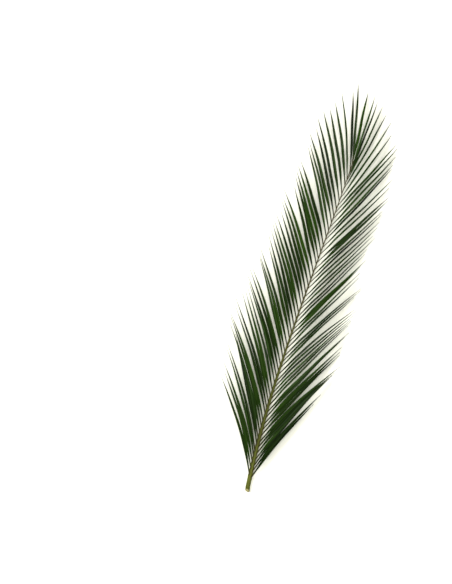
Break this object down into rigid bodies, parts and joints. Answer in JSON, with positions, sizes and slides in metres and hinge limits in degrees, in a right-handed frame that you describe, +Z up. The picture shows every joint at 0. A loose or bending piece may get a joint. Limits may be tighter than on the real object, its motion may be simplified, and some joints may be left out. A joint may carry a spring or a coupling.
{
  "type": "preserved palm frond",
  "caption": "Cut feather-type palm frond, dried and preserved, with a long tapering midrib and two rows of narrow folded leaflets. It lies face up on a flat surface.",
  "frame": {"origin": "on the resting surface, under the flat underside of the midrib near the frond's balance point", "axes": "+Y along the frond from the cut end towards the tip, +X to the right seen from above with the tip ahead, +Z up, out of the upper face of the leaf"},
  "size_m": [0.217, 0.76, 0.0257],
  "materials": {
    "leaf_blade": "dark green, waxy satin",
    "midrib": "olive to straw brown, smooth and slightly ridged"
  },
  "bodies": {
    "root": {"palm_frond": "leaf_blade"}
  },
  "joints": []
}
